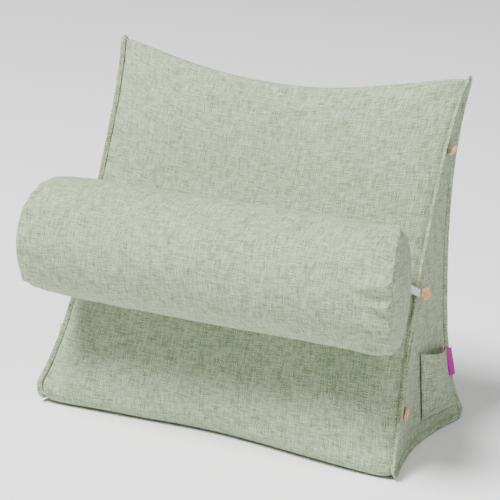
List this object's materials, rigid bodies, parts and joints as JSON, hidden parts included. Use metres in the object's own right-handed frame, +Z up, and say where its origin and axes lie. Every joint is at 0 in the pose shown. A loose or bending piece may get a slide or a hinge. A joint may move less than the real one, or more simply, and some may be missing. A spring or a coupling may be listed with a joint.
{
  "type": "wedge back cushion with button-on neck roll",
  "caption": "Sage green linen-look wedge back cushion with a cylindrical neck roll, wooden side buttons, white tape tabs, a small side pocket and a bare magenta tab.",
  "frame": {"origin": "On the floor plane, under the middle of the whole cushion with its neck roll", "axes": "+X is the width, towards the side with the pocket; -Y is the front, where the neck roll lies; +Z is up"},
  "size_m": [0.4607, 0.2579, 0.3944],
  "materials": {
    "green_cloth": "linen-look plain weave, matt",
    "roll_cloth": "linen-look plain weave, matt",
    "flange_cloth": "linen-look plain weave, matt",
    "pocket_cloth": "linen-look plain weave, hemmed",
    "pale_wood": "turned, satin",
    "white_tape": "woven tape",
    "magenta_label": "woven satin, bare"
  },
  "bodies": {
    "root": {"wedge_cushion": "green_cloth", "neck_roll": "roll_cloth", "seam_flange_left": "flange_cloth", "seam_flange_right": "flange_cloth", "button_left_top": "pale_wood", "button_left_middle": "pale_wood", "button_left_bottom": "pale_wood", "button_right_top": "pale_wood", "button_right_middle": "pale_wood", "button_right_bottom": "pale_wood", "tape_left": "white_tape", "tape_right": "white_tape", "side_pocket": "pocket_cloth", "side_label": "magenta_label"}
  },
  "joints": []
}
